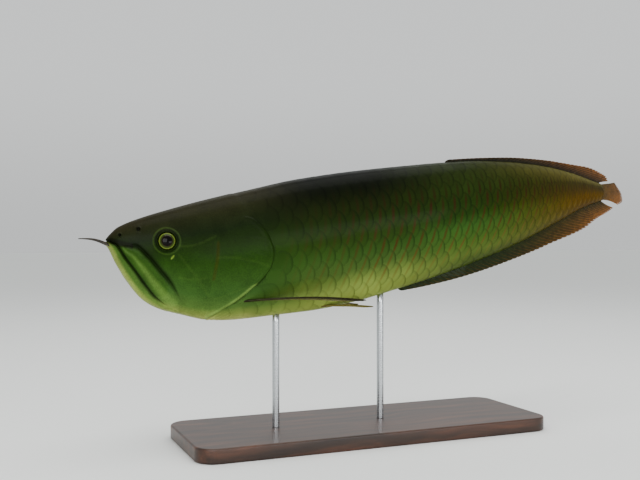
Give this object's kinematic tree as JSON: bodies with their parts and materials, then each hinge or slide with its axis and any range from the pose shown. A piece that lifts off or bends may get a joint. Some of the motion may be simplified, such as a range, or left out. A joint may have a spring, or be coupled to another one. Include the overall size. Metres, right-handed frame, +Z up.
{
  "type": "silver arowana",
  "caption": "Life-size still model of a long, deep, flat-sided freshwater fish, swimming, with steep mouth, two chin feelers and large scales, held over a wooden base by two thin rods.",
  "frame": {"origin": "centre of the underside of the stand's base, on the floor", "axes": "+Z up; the fish's nose points to -X and its tail to +X, its left side faces -Y and its tail bends to +Y"},
  "size_m": [0.7788, 0.15, 0.3338],
  "materials": {
    "head_skin": "smooth wet skin, near black on the crown, green on the cheek",
    "jaw_skin": "smooth wet skin, pale green with dark seams",
    "cheek_skin": "smooth polished green bone under skin",
    "eye": "clear glossy eye, black pupil in a yellow-green ring",
    "barbel_skin": "dark smooth skin",
    "body_scales": "large glossy scales, dark olive back, green side with reddish streaks",
    "fin_membrane": "rayed skin, olive at the root and orange-brown at the edge",
    "paired_fin_membrane": "rayed skin, dark along the first ray",
    "stand_wood": "dark stained wood, satin varnish",
    "stand_steel": "brushed steel rod"
  },
  "bodies": {
    "root": {"head": "head_skin", "lower_jaw": "jaw_skin", "maxilla_left": "jaw_skin", "maxilla_right": "jaw_skin", "gill_cover_left": "cheek_skin", "gill_cover_right": "cheek_skin", "eye_left": "eye", "eye_right": "eye", "barbel_left": "barbel_skin", "barbel_right": "barbel_skin", "trunk": "body_scales", "tail": "body_scales", "dorsal_fin": "fin_membrane", "anal_fin": "fin_membrane", "caudal_fin": "fin_membrane", "pectoral_fin_left": "paired_fin_membrane", "pectoral_fin_right": "paired_fin_membrane", "pelvic_fin_left": "paired_fin_membrane", "pelvic_fin_right": "paired_fin_membrane", "stand_base": "stand_wood", "stand_rod_front": "stand_steel", "stand_rod_rear": "stand_steel"}
  },
  "joints": []
}
